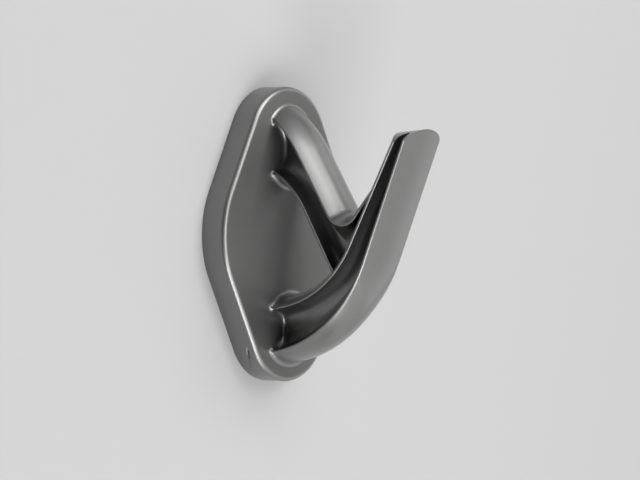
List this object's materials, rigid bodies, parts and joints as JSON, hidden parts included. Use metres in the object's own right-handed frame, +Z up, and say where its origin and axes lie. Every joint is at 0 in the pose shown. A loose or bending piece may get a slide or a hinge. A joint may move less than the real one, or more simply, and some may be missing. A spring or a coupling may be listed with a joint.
{
  "type": "wall hook",
  "caption": "Cast metal wall hook: a rounded plate carries an upturned arm, braced from the top of the plate to form a V seat.",
  "frame": {"origin": "middle of the back face, on the wall", "axes": "+X along the wall, across the plate; +Y into the wall, so the arm stands out towards -Y; +Z up"},
  "size_m": [0.051, 0.055, 0.076],
  "materials": {
    "cast_metal": "satin",
    "foam": "matte"
  },
  "bodies": {
    "root": {"hook_body": "cast_metal", "adhesive_pad": "foam"}
  },
  "joints": []
}
